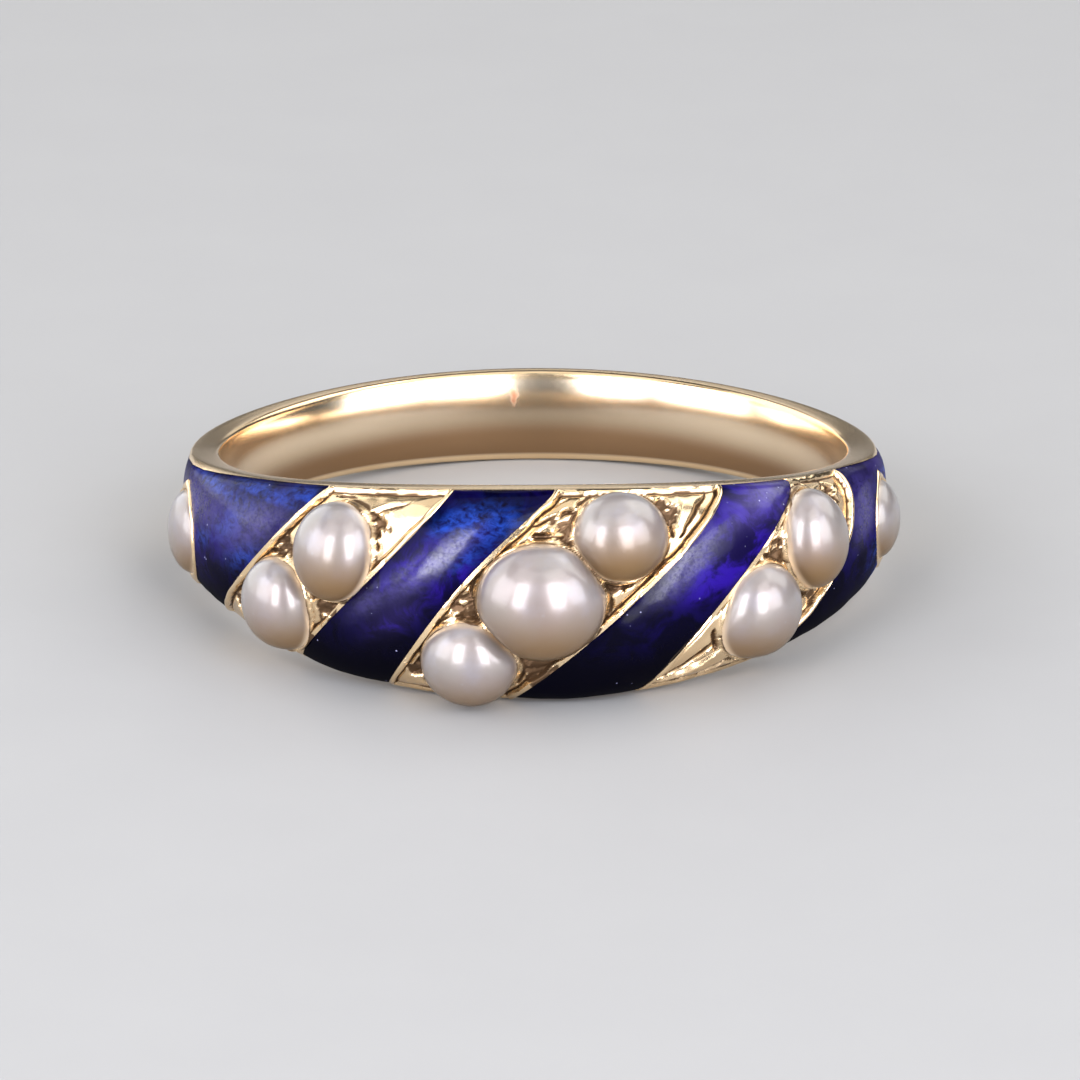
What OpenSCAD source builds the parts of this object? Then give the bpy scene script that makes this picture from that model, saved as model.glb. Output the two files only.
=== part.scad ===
// Half-pearl and enamel finger ring with a glazed locket behind its front, lying on its side.
// The ring is drawn about its bore axis, mid-plane at z = 0, front at -Y, and then laid down.
// Angles run round the bore from the front: negative to the left, positive to the right.

/* [Band] */
// Diameter of the finger hole
bore_d = 17.3; // [15:0.1:21]
// Width of the band along the finger at the front
front_w = 5.86; // [5.6:0.02:6.4]
// Width of the band at the sides
side_w = 3.02; // [2.8:0.02:3.6]
// Width of the band at the back
back_w = 2.66; // [2.2:0.02:3]
// Thickness of the band at the front
front_t = 1.90; // [1.8:0.02:2.2]
// Thickness of the band at the sides
side_t = 1.06; // [1:0.02:1.3]
// Thickness of the band at the back
back_t = 1.22; // [1:0.02:1.4]
// Width of the flat edge at the front
front_rim = 0.34; // [0.3:0.02:0.5]
// Width of the flat edge at the sides
side_rim = 0.84; // [0.5:0.02:0.86]
// Width of the flat edge at the back
back_rim = 0.50; // [0.3:0.02:0.8]
// Fullness of the domed outside, 2 being an ellipse
fullness = 2.2; // [2:0.05:2.6]

/* [Enamel] */
// Depth of the pockets under the outside
enamel_depth = 0.32; // [0.2:0.02:0.36]
// Height of the enamel's crown over the outside, as a share of the height in its table
crown_share = 1.0; // [0.2:0.1:1.2]
// Clearance between the enamel and its pocket
enamel_gap = 0.03; // [0.02:0.005:0.04]
// Width of the gold line left beside each pocket
line_w = 0.20; // [0.14:0.02:0.3]
// Depth of the pearl fields under the gold lines
field_depth = 0.20; // [0.1:0.02:0.24]

/* [Pearls] */
// Depth of each pearl's widest circle under the outside
pearl_sink = 0.12; // [0.05:0.01:0.16]
// Depth of each pearl's flat foot under its widest circle
pearl_foot = 0.35; // [0.3:0.01:0.4]
// Clearance between a pearl and its seat
pearl_gap = 0.02; // [0.01:0.005:0.03]
// Width of the gold collar round the two side pearls
collar_w = 0.14; // [0.1:0.01:0.2]

/* [Locket] */
// Length of the window round the bore
window_l = 6.0; // [5:0.1:7]
// Width of the window along the finger
window_w = 3.2; // [2.8:0.1:3.6]
// Thickness of the glass
glass_t = 0.28; // [0.2:0.02:0.32]
// Depth of the compartment behind the glass
locket_depth = 0.45; // [0.3:0.02:0.5]
// Width of the ledge that carries the glass
ledge_w = 0.25; // [0.2:0.05:0.4]

/* [Hidden] */
// Columns: name, angle round the ring, height over the mid-plane, radius, dome over radius, collar
NAME = 0;
ANGLE = 1;
HEIGHT = 2;
RADIUS = 3;
DOME = 4;
COLLAR = 5;
PEARLS = [
    ["pearl_middle", 1.2, 0.22, 1.58, 0.84, false],
    ["pearl_middle_top", 14.0, 1.91, 1.16, 0.84, false],
    ["pearl_middle_bottom", -10.2, -1.81, 1.16, 0.84, false],
    ["pearl_left_top", -32.2, 1.09, 1.25, 0.83, false],
    ["pearl_left_bottom", -43.4, -0.74, 1.20, 0.83, false],
    ["pearl_right_top", 48.9, 0.78, 1.22, 0.83, false],
    ["pearl_right_bottom", 37.3, -0.82, 1.24, 0.83, false],
    ["pearl_far_left", -77.0, -0.22, 1.18, 0.56, true],
    ["pearl_far_right", 78.0, 0.00, 1.10, 0.62, true],
];
// Columns: angle at the mid-plane, slant, bend and flare of each edge towards the upper rim
EDGES = [
    [-97.0, 5.0, 0.0, 0.0],
    [-50.5, 14.0, 0.0, 0.0],
    [-27.7, 14.5, 0.0, 0.0],
    [-13.3, 12.0, 2.7, 2.4],
    [14.8, 18.7, 0.0, 0.0],
    [30.9, 15.9, 2.0, 0.0],
    [58.5, 12.0, -6.0, 0.0],
    [97.0, 5.0, 0.0, 0.0],
    [263.0, 5.0, 0.0, 0.0],
];
// Columns: name or kind, left edge, right edge, steps across, crown of the enamel
KIND = 0;
LEFT = 1;
RIGHT = 2;
STEPS = 3;
CROWN = 4;
STRIPES = [
    ["enamel_left_panel", 0, 1, 11, 0.09],
    ["enamel_left_stripe", 2, 3, 4, 0.08],
    ["enamel_right_stripe", 4, 5, 4, 0.08],
    ["enamel_right_panel", 6, 7, 9, 0.14],
];
FIELDS = [
    ["field", 1, 2, 6],
    ["field", 3, 4, 7],
    ["field", 5, 6, 7],
];
SHANK = ["shank", 7, 8, 22];
SEGMENTS = [STRIPES[0], FIELDS[0], STRIPES[1], FIELDS[1], STRIPES[2], FIELDS[2], STRIPES[3], SHANK];

gold = "goldenrod";
blue = "midnightblue";
cream = "linen";
glass = "lightcyan";
bore_r = bore_d / 2;
// Inner face of the rough band, inside the bore that is cut from it
rough_r = bore_r - 0.4;
// Angles up the section where a pocket ends at the front and where the plain edge starts
pocket_end = 76;
wall_end = 79;
pocket_rows = 12;
// The flat edge widens and the pockets draw back from it between these angles round the ring
shoulder_start = 62;
shoulder_end = 88;
shoulder_drop = 18;
// Slope of the pocket walls, as the width that they take
draft = 0.04;
// Length that turns a width into an angle round the band
mid_r = bore_r + side_t;
// The ring rests on the lower edge of its front and of its back
rest_tilt = atan((front_w - back_w) / 2 / (2 * bore_r + back_rim));
rest_lift = front_w / 2 * cos(rest_tilt) - bore_r * sin(rest_tilt);
// The middle pearl's crown and the back of the band are equally far from the origin
front_reach = bore_r + front_t - pearl_sink + PEARLS[0][RADIUS] * PEARLS[0][DOME];
rest_y = (front_reach - bore_r - back_t) / 2 * cos(rest_tilt);

// A size that goes smoothly from its front to its side and back values
function around(front, side, back, a) =
    (front + 2 * side + back) / 4 + (front - back) / 2 * cos(a)
    + (front - 2 * side + back) / 4 * cos(2 * a);
function half_w(a) = around(front_w, side_w, back_w, a) / 2;
function wall_t(a) = around(front_t, side_t, back_t, a);
function round_away(a) = abs(a > 180 ? a - 360 : a);
function smooth(x) = let (t = max(0, min(1, x))) t * t * (3 - 2 * t);
function shoulder(a) = smooth((round_away(a) - shoulder_start) / (shoulder_end - shoulder_start));
function rim_t(a) =
    front_rim + (side_rim - front_rim) * shoulder(a)
    + (back_rim - side_rim) * smooth((round_away(a) - 90) / 90);

// Share of the half width, and of the dome, at angle q up the section
function up(q) = sign(q) * pow(abs(sin(q)), 2 / fullness);
function out(q) = pow(abs(cos(q)), 2 / fullness);
function to_angle(w) = w / mid_r * 180 / PI;

// Point of the outside at angle a and section angle q, sunk towards the bore
function skin(a, q, sink) =
    let (r = bore_r + rim_t(a) + (wall_t(a) - rim_t(a)) * out(q) - sink)
    [r * sin(a), -r * cos(a), half_w(a) * up(q)];

function edge(i, s) = EDGES[i][0] + EDGES[i][1] * s + EDGES[i][2] * s * s + EDGES[i][3] * s * s * s;
function across(g, f, s) = edge(g[LEFT], s) * (1 - f) + edge(g[RIGHT], s) * f;

// Columns of the band: segment, share across it, inset in mm, depth
function columns(g) =
    g[KIND] == "shank"
        ? [for (i = [1 : g[STEPS] - 1]) [g, i / g[STEPS], 0, 0]]
        : let (
            inset = g[KIND] == "field" ? line_w : 0,
            depth = g[KIND] == "field" ? field_depth : enamel_depth,
            n = g[STEPS]
        )
        concat(
            [[g, 0, inset, 0]],
            [for (i = [0 : n]) [g, i / n, (1 - 2 * i / n) * (inset + draft), depth]],
            [[g, 1, -inset, 0]]
        );
function rows(last) = [for (i = [0 : pocket_rows]) last * (2 * i / pocket_rows - 1)];
// Section angle where the pocket ends on the column at share f across a segment
function last_row(g, f) = pocket_end - shoulder_drop * shoulder(across(g, f, 0));

function column_points(c) = let (last = last_row(c[0], c[1]), wall = last + wall_end - pocket_end) concat(
    [for (q = concat([-90, -wall], rows(last), [wall, 90]))
        let (a = across(c[0], c[1], up(q)) + to_angle(c[2]))
        skin(a, q, abs(q) <= last ? c[3] : 0)],
    [for (side = [1, -1])
        let (a = across(c[0], c[1], side) + to_angle(c[2]))
        [rough_r * sin(a), -rough_r * cos(a), side * half_w(a)]]
);

// Triangles of a grid that closes on itself in both directions
function torus_faces(n, m) = [
    for (i = [0 : n - 1], j = [0 : m - 1])
    let (i2 = (i + 1) % n, j2 = (j + 1) % m)
    each [
        [i * m + j, i2 * m + j2, i2 * m + j],
        [i * m + j, i * m + j2, i2 * m + j2],
    ]
];

// Triangles of a slab from an upper and a lower grid of n by m points each
function slab_faces(n, m) =
    let (k = n * m)
    concat(
        [for (i = [0 : n - 2], j = [0 : m - 2])
            let (a = i * m + j, b = a + m)
            each [
                [a, b + 1, b],
                [a, a + 1, b + 1],
                [k + a, k + b, k + b + 1],
                [k + a, k + b + 1, k + a + 1],
            ]],
        [for (i = [0 : n - 2], j = [0, m - 1])
            let (a = i * m + j, b = a + m)
            each j == 0
                ? [[a, b, k + b], [a, k + b, k + a]]
                : [[a, k + b, b], [a, k + a, k + b]]],
        [for (j = [0 : m - 2], i = [0, n - 1])
            let (a = i * m + j, b = a + 1)
            each i == 0
                ? [[a, k + b, b], [a, k + a, k + b]]
                : [[a, b, k + b], [a, k + b, k + a]]]
    );

// Section angle of a height over the mid-plane
function section_angle(a, z) = sign(z) * asin(pow(abs(z) / half_w(a), fullness / 2));
function place(p) = skin(p[ANGLE], section_angle(p[ANGLE], p[HEIGHT]), 0);
function outward(p) =
    let (
        a = p[ANGLE],
        q = section_angle(a, p[HEIGHT]),
        n = cross(skin(a + 1, q, 0) - skin(a - 1, q, 0), skin(a, q + 1, 0) - skin(a, q - 1, 0))
    )
    n / norm(n);

module lay_down()
    translate([0, rest_y, rest_lift])
        rotate([-rest_tilt, 0, 0])
            children();

// Stands its children on a pearl's place, square to the outside of the band
module at_pearl(p) {
    n = outward(p);
    translate(place(p) - pearl_sink * n)
        rotate([0, acos(n[2]), atan2(n[1], n[0])])
            children();
}

module pearl_seat(p)
    at_pearl(p)
        translate([0, 0, -pearl_foot - pearl_gap])
            cylinder(h = pearl_foot + 2, r = p[RADIUS] + pearl_gap, $fn = 96);

module collar(p, extra)
    at_pearl(p)
        translate([0, 0, -pearl_foot])
            cylinder(
                h = pearl_foot + (extra > 0 ? 2 : 0),
                r = p[RADIUS] + pearl_gap + collar_w + extra,
                $fn = 96
            );

// Round-ended bar that runs out through the front of the bore
module window_bar(inset)
    rotate([90, 0, 0])
        linear_extrude(2 * bore_r)
            union() {
                w = window_w - 2 * inset;
                l = window_l - 2 * inset;
                square([l - w, w], center = true);
                for (side = [-1, 1])
                    translate([side * (l - w) / 2, 0])
                        circle(d = w, $fn = 64);
            }

module bore_bar(r)
    translate([0, 0, -front_w])
        cylinder(h = 2 * front_w, r = r, $fn = 180);

module rough_band() {
    cols = [for (g = SEGMENTS) each columns(g)];
    points = [for (c = cols) each column_points(c)];
    polyhedron(points, torus_faces(len(cols), len(points) / len(cols)));
}

module band()
    color(gold)
        lay_down()
            difference() {
                union() {
                    rough_band();
                    for (p = PEARLS)
                        if (p[COLLAR])
                            collar(p, 0);
                }
                bore_bar(bore_r);
                for (p = PEARLS)
                    pearl_seat(p);
                intersection() {
                    window_bar(0);
                    bore_bar(bore_r + glass_t + 2 * enamel_gap);
                }
                intersection() {
                    window_bar(ledge_w);
                    bore_bar(bore_r + glass_t + locket_depth);
                }
            }

module locket_glass()
    color(glass, 0.5)
        lay_down()
            difference() {
                intersection() {
                    window_bar(enamel_gap);
                    bore_bar(bore_r + glass_t + enamel_gap);
                }
                bore_bar(bore_r + enamel_gap);
            }

// Enamel slab of one stripe, crowned across its width and clear of its pocket
module enamel(g) {
    n = g[STEPS];
    slope = draft + enamel_gap;
    function grid(inset, under) = [
        for (i = [0 : n])
        let (f = i / n, last = last_row(g, f) - 1.5)
        for (q = rows(last))
        let (
            a = across(g, f, up(q)) + to_angle((1 - 2 * f) * inset),
            crown = crown_share * g[CROWN] * (1 - pow(2 * f - 1, 4)) * cos(90 * q / last)
        )
        skin(a, q, under > 0 ? under : -crown)
    ];
    color(blue)
        lay_down()
            difference() {
                polyhedron(
                    concat(grid(slope, 0), grid(draft + slope, enamel_depth - enamel_gap)),
                    slab_faces(n + 1, pocket_rows + 1)
                );
                for (p = PEARLS)
                    if (p[COLLAR] && abs(p[ANGLE] - edge(g[LEFT], 0) / 2 - edge(g[RIGHT], 0) / 2) < 20)
                        collar(p, enamel_gap);
            }
}

module pearl(p)
    color(cream)
        lay_down()
            at_pearl(p)
                rotate_extrude($fn = 96) {
                    r = p[RADIUS];
                    dome = r * p[DOME];
                    ball = (r * r + dome * dome) / (2 * dome);
                    intersection() {
                        translate([0, dome - ball])
                            circle(ball, $fn = 96);
                        translate([0, -pearl_foot])
                            square([r, pearl_foot + dome]);
                    }
                }

band();
locket_glass();
for (g = STRIPES) enamel(g);
for (p = PEARLS) pearl(p);
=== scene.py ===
# %% [markdown]
# # A gold band with enamel stripes and half pearls
# The ring lies on its side with the finger hole upwards. Its measures are in millimetres
# about the axis of the finger hole, with the front at -Y. The last step of each piece tilts
# it onto the floor, as the solid model lies, and turns millimetres into metres.

# %% Load the solid model
import math

import bpy
import numpy as np
from mathutils import Matrix


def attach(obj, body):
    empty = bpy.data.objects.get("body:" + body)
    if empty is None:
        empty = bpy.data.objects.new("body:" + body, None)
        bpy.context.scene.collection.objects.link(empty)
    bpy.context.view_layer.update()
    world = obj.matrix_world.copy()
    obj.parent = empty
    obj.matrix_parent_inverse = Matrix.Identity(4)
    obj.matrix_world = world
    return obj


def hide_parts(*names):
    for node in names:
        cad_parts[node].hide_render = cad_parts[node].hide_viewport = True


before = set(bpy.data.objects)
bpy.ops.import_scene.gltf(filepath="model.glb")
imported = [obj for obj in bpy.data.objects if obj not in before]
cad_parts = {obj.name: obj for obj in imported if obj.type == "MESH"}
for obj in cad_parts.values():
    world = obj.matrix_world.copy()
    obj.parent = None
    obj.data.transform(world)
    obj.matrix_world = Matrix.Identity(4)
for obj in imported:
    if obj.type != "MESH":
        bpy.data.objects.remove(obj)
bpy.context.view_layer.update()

# %% [markdown]
# The band is wide and thick at the front and slim at the back. It could be swept round a
# circle and then pulled about by hand, but a formula keeps every size true: each size is
# given at the front, the sides and the back, and two cosines join the three smoothly.

# %% Sizes of the band
BORE_R = 8.65
FULLNESS = 2.2
WIDTHS = (5.86, 3.02, 2.66)
WALLS = (1.90, 1.06, 1.22)
RIMS = (0.34, 0.84, 0.50)


def smooth(x):
    """Rises from 0 to 1 as x does, level at both ends: 3x squared less 2x cubed."""
    t = np.clip(x, 0.0, 1.0)
    return t * t * (3 - 2 * t)


def around(sizes, a):
    """A size at angle a from its front, side and back values, by cosines of a and 2a."""
    front, side, back = sizes
    turn = np.radians(a)
    mean = (front + 2 * side + back) / 4
    return mean + (front - back) / 2 * np.cos(turn) + (front - 2 * side + back) / 4 * np.cos(2 * turn)


def from_front(a):
    """Angle away from the front, from 0 to 180."""
    return np.abs((np.asarray(a, float) + 180) % 360 - 180)


def half_w(a):
    """Half the band's width at angle a."""
    return around(WIDTHS, a) / 2


def shoulder(a):
    """0 at the front and 1 where the band has turned to the side."""
    return smooth((from_front(a) - 62) / 26)


def rim_t(a):
    """Width of the flat edge: narrow in front, wide at the sides, narrower at the back."""
    front, side, back = RIMS
    return front + (side - front) * shoulder(a) + (back - side) * smooth((from_front(a) - 90) / 90)


print("front width", half_w(0.0) * 2, "back width", half_w(180.0) * 2)

# %% [markdown]
# The cross-section is a dome on a flat edge, a little fuller than an ellipse. It changes all
# the way round, so one formula of two angles gives every point of the outside. Its steps in
# the two directions give the outward direction there, which carving and setting both need.

# %% The outside of the band
def signed_power(x, power):
    """A power of the size of x, with the sign of x."""
    return np.sign(x) * np.abs(x) ** power


def skin(a, q):
    """Point of the outside at angle a round the ring and section angle q, both in degrees.

    The radius is the flat edge plus the dome times |cos q| to 2/fullness, and the height
    is half the width times sin q to the same power.
    """
    turn, rise = np.radians(a), np.radians(q)
    power = 2 / FULLNESS
    r = BORE_R + rim_t(a) + (around(WALLS, a) - rim_t(a)) * np.abs(np.cos(rise)) ** power
    z = half_w(a) * signed_power(np.sin(rise), power)
    return np.stack([r * np.sin(turn), -r * np.cos(turn), z + 0 * turn], -1)


def section_angle(a, z):
    """Section angle q at height z over the mid-plane."""
    share = np.clip(np.asarray(z) / half_w(a), -1, 1)
    return np.degrees(np.arcsin(signed_power(share, FULLNESS / 2)))


def unit(v):
    """The same direction, one unit long."""
    return v / np.linalg.norm(v, axis=-1, keepdims=True)


def outward(a, q):
    """Unit normal of the outside: the cross product of its steps round and up."""
    q = np.clip(q, -87, 87)
    return unit(np.cross(skin(a + 0.5, q) - skin(a - 0.5, q), skin(a, q + 0.5) - skin(a, q - 0.5)))


print("front at", skin(0.0, 0.0).round(2), "back at", skin(180.0, 0.0).round(2))

# %% [markdown]
# The ring rests on the lower edge of its broad front and of its narrow back, so its axis
# leans a few degrees. Objects could be turned, but a finished piece keeps its place in its
# mesh, so every mesh goes through this one turn and shift.

# %% Lay the ring on the floor
REST_TILT = math.atan((WIDTHS[0] - WIDTHS[2]) / 2 / (2 * BORE_R + RIMS[2]))
REST_LIFT = WIDTHS[0] / 2 * math.cos(REST_TILT) - BORE_R * math.sin(REST_TILT)
PEARL_SINK = 0.12
# The solid middle pearl's radius, times the share of it that its dome is high
TALLEST_DOME = 1.58 * 0.84
FRONT_REACH = BORE_R + WALLS[0] - PEARL_SINK + TALLEST_DOME
REST_Y = (FRONT_REACH - BORE_R - WALLS[2]) / 2 * math.cos(REST_TILT)
MM = 0.001


def turned(p):
    """A direction of the ring's own frame, turned as the ring lies."""
    c, s = math.cos(REST_TILT), math.sin(REST_TILT)
    x, y, z = np.moveaxis(np.asarray(p, float), -1, 0)
    return np.stack([x, y * c + z * s, -y * s + z * c], -1)


def laid_down(p):
    """Points in millimetres about the bore, as points in metres on the floor."""
    return (turned(p) + (0, REST_Y, REST_LIFT)) * MM


print("tilt in degrees", round(math.degrees(REST_TILT), 3), "lift in mm", round(REST_LIFT, 3))

# %% [markdown]
# Each piece is a grid of points that a formula gives, so a mesh needs only the faces between
# neighbours. Three kinds of closed grid are enough: one that joins itself both ways, like a
# tyre; a stack of loops that ends in a point at each end; and a slab with an upper and a
# lower sheet.

# %% Closed grids
def cells(index):
    """Four-cornered faces between neighbours of a grid of vertex numbers."""
    return np.stack([index[:-1, :-1], index[1:, :-1], index[1:, 1:], index[:-1, 1:]], -1).reshape(-1, 4)


def ring_faces(n, m):
    """Faces of an n by m grid that joins itself in both directions."""
    index = np.arange(n * m).reshape(n, m)
    index = np.concatenate([index, index[:1]])
    return cells(np.concatenate([index, index[:, :1]], 1)).tolist()


def stack_faces(n, m):
    """Faces of n loops of m points, closed by one point before them and one after them."""
    index = np.arange(n * m).reshape(n, m)
    index = np.concatenate([index, index[:, :1]], 1)
    first, last = np.full(m, n * m), np.full(m, n * m + 1)
    caps = [
        np.stack([first, index[0, :-1], index[0, 1:]], -1),
        np.stack([index[-1, :-1], last, index[-1, 1:]], -1),
    ]
    return cells(index).tolist() + np.concatenate(caps).tolist()


def slab_faces(n, m):
    """Faces of two n by m sheets, the upper one first, joined along their four sides."""
    top = np.arange(n * m).reshape(n, m)
    low = top + n * m
    edge_loops = [
        np.stack([low[0], top[0]]),
        np.stack([top[-1], low[-1]]),
        np.stack([top[:, 0], low[:, 0]]),
        np.stack([low[:, -1], top[:, -1]]),
    ]
    return sum((cells(strip).tolist() for strip in [top, low[::-1], *edge_loops]), [])


print("faces of 5 by 4 grids:", [len(kind(5, 4)) for kind in (ring_faces, stack_faces, slab_faces)])

# %% [markdown]
# A mesh must point outwards to be a solid. The signed volume inside its faces tells: where
# it is negative, every face is turned round. The same helper stores the marks that the
# finishes read, and lets the piece ride on the ring in place of a solid.

# %% A closed piece
def volume(points, faces):
    """Signed volume inside the faces, from the tetrahedra that they make with the origin."""
    total = 0.0
    for size in (3, 4):
        rows = np.array([f for f in faces if len(f) == size], int).reshape(-1, size)
        for k in range(1, size - 1):
            a, b, c = points[rows[:, 0]], points[rows[:, k]], points[rows[:, k + 1]]
            total += np.einsum("ij,ij->", a, np.cross(b, c)) / 6
    return total


def add_object(name, data):
    """Puts mesh, camera or light data into the scene as an object."""
    made = bpy.data.objects.new(name, data)
    bpy.context.scene.collection.objects.link(made)
    return made


def make_piece(name, points, faces, finish, replaces=(), crease=None, marks=None):
    """Makes one closed mesh, faces outwards, and lets it ride on the ring.

    marks are values per point, which materials read by name, and crease is the angle
    in degrees over which an edge is shaded as sharp.
    """
    points = np.asarray(points, float).reshape(-1, 3)
    if volume(points, faces) < 0:
        faces = [f[::-1] for f in faces]
    mesh = bpy.data.meshes.new(name)
    mesh.from_pydata(laid_down(points), [], faces)
    mesh.validate()
    mesh.shade_smooth()
    if crease:
        mesh.set_sharp_from_angle(angle=math.radians(crease))
    for mark, values in (marks or {}).items():
        layer = mesh.attributes.new(mark, "FLOAT", "POINT")
        layer.data.foreach_set("value", np.asarray(values, np.float32).ravel())
    mesh.materials.append(finish)
    piece = add_object(name, mesh)
    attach(piece, "root")
    if replaces:
        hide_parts(*replaces)
    mesh.calc_loop_triangles()
    print(name, "triangles", len(mesh.loop_triangles), "volume", round(abs(volume(points, faces)), 2))
    return piece


cube = np.array([(x, y, z) for z in (1, 0) for x in (0, 1) for y in (0, 1)], float)
print("a cube of 1 mm holds", abs(volume(cube, slab_faces(2, 2))), "cubic mm")

# %% [markdown]
# A finish is a small program over the surface. Wired by hand it is hard to read, so this
# class lets it be written as plain arithmetic: a value that varies over the surface can be
# added, multiplied or subtracted, and each step adds a Math node.

# %% Shader arithmetic
class Value:
    """A number that varies over the surface, as one output of a node."""

    def __init__(self, finish, socket):
        self.finish, self.socket = finish, socket

    def step(self, operation, a, b):
        return self.finish.node("Math", {"operation": operation}, {0: a, 1: b})

    def __add__(self, other):
        return self.step("ADD", self, other)

    def __sub__(self, other):
        return self.step("SUBTRACT", self, other)

    def __rsub__(self, other):
        return self.step("SUBTRACT", other, self)

    def __mul__(self, other):
        return self.step("MULTIPLY", self, other)

    __radd__ = __add__
    __rmul__ = __mul__


print("a value knows", [name for name in vars(Value) if name.endswith(("add__", "sub__", "mul__"))])

# %% [markdown]
# Every other node comes from one method, which takes its kind, its settings and the values
# or links of its sockets. The helpers below it are the few combinations that the gold, the
# enamel and the pearls share: clouds of a given size in millimetres, soft steps, mixed
# colours, marks, the distance from a spot, and small bumps.

# %% A finish under construction
class Finish:
    """A material under construction."""

    def __init__(self, name):
        self.material = bpy.data.materials.new(name)
        self.material.use_nodes = True
        self.tree = self.material.node_tree
        self.tree.nodes.clear()
        self.place = self.node("TexCoord", out="Object")

    def node(self, kind, settings=None, values=None, out=0):
        """Adds a node, sets what it does, then gives its sockets values or links."""
        made = self.tree.nodes.new("ShaderNode" + kind)
        for key, value in (settings or {}).items():
            setattr(made, key, value)
        for key, value in (values or {}).items():
            if isinstance(value, Value):
                self.tree.links.new(value.socket, made.inputs[key])
            else:
                made.inputs[key].default_value = value
        return None if out is None else Value(self, made.outputs[out])

    def noise(self, size, detail=2.0, seed=0.0, stretch=(1, 1, 1), rough=0.5, swirl=0.0):
        """Cloudy noise with hills about size millimetres across."""
        scale = [k / (size * MM) for k in stretch]
        where = self.node("Mapping", None, {0: self.place, 1: (seed, seed * 0.7, -seed), 3: scale})
        values = {"Vector": where, "Scale": 1.0, "Detail": detail, "Roughness": rough, "Distortion": swirl}
        return self.node("TexNoise", None, values, out="Fac")

    def band(self, value, low, high, to_low=0.0, to_high=1.0):
        """Follows value smoothly from low to high and stays level outside."""
        values = {0: value, 1: low, 2: high, 3: to_low, 4: to_high}
        return self.node("MapRange", {"interpolation_type": "SMOOTHSTEP"}, values)

    def mix(self, share, one, other):
        """A colour between two others."""
        one, other = [c if isinstance(c, Value) else (*c, 1) for c in (one, other)]
        return self.node("Mix", {"data_type": "RGBA"}, {0: share, 6: one, 7: other}, out=2)

    def mark(self, name):
        """A value that is stored on the points under a name."""
        return self.node("Attribute", {"attribute_name": name}, out="Fac")

    def away_from(self, centre, sizes):
        """Distance from a point of the ring's own frame, in units of the three sizes in mm."""
        scale = [1 / (size * MM) for size in sizes]
        shift = [-c * k for c, k in zip(laid_down(centre), scale)]
        where = self.node("Mapping", None, {0: self.place, 1: shift, 3: scale})
        return self.node("VectorMath", {"operation": "LENGTH"}, {0: where}, out="Value")

    def bump(self, height, depth, strength):
        """Normals of a surface that rises depth millimetres with height."""
        return self.node("Bump", None, {"Strength": strength, "Distance": depth * MM, "Height": height})

    def surface(self, values):
        """Puts the shader together and gives back the finished material."""
        shader = self.node("BsdfPrincipled", None, values)
        self.node("OutputMaterial", None, {0: shader}, out=None)
        print("finish", self.material.name, "nodes", len(self.tree.nodes))
        return self.material


print("materials so far", len(bpy.data.materials))

# %% [markdown]
# Old eighteen-carat gold is a pale warm yellow. It is polished where fingers rub it, softer
# inside, brown where it is worn on the carved ground, and copper-coloured at an old joint in
# the back. The lower part of the finger hole is darkened as painted shade. A picture could
# show this, but marks on the points follow the shape: "recess" is where dirt has stayed in
# a cut, a third mark holds the worn ground and the painted shade in the hole, and "inside"
# is the finger hole.

# %% Gold
GOLD = (0.905, 0.685, 0.42)
JOINT = (-0.55, BORE_R, 0.62)


def gold_finish():
    """Polished gold: dirty cuts, worn ground, a smoother hole with painted shade low in it, a coppery joint.
    """
    g = Finish("old_gold")
    recess, inside = g.mark("recess"), g.mark("inside")
    patches = g.noise(1.7, detail=3, seed=1.3)
    colour = g.mix(g.band(patches, 0.35, 0.7), GOLD, (0.865, 0.635, 0.37))
    colour = g.mix(0.65 * inside, colour, (0.93, 0.80, 0.62))
    # Brown wear on the carved ground, and painted shade that darkens the lower part of the hole.
    colour = g.mix(g.mark("wear_and_shade"), colour, (0.33, 0.20, 0.105))
    dirt = g.band(recess + 0.25 * (g.noise(0.12, detail=3, seed=9.1) - 0.5), 0.12, 0.85, 0.0, 0.95)
    colour = g.mix(dirt, colour, (0.062, 0.027, 0.009))
    away = g.away_from(JOINT, (0.15, 0.6, 0.34))
    spot = 0.85 * g.band(away + 1.2 * g.noise(0.14, detail=4, seed=4.0), 1.85, 0.65)
    colour = g.mix(spot, colour, (0.50, 0.16, 0.06))
    scratches = g.noise(0.05, detail=2, stretch=(0.08, 0.08, 1), seed=2.0)
    grain = g.noise(0.06, detail=3, seed=6.0)
    rough = 0.19 + 0.05 * g.band(grain, 0.35, 0.75) * (1 - inside) + 0.01 * inside
    rough = rough + 0.22 * recess + 0.25 * spot
    height = (0.25 * scratches + 0.35 * grain) * (1 - 0.92 * inside)
    return g.surface({
        "Base Color": colour,
        "Metallic": 1 - 0.25 * dirt,
        "Roughness": rough,
        "Normal": g.bump(height, 0.004, 0.5),
    })


OLD_GOLD = gold_finish()

# %% [markdown]
# The enamel is coloured glass fused into pockets in the gold. Light comes back from the gold
# under it, so it is bright blue where the glass is thin and nearly black where it is thick.
# Traced glass would be slow and couldn't be exported, so a dark body carries brighter clouds
# instead. Marks place the azure and violet clouds, the pale froth, the lower part that is
# darkened as painted shade, and the gloss, where the ground face mirrors the lights softly
# and a painted sheen lightens the colour.

# %% Enamel
# Cells per metre that the bubbles sit in
SPECKLE = 3200.0


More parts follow.
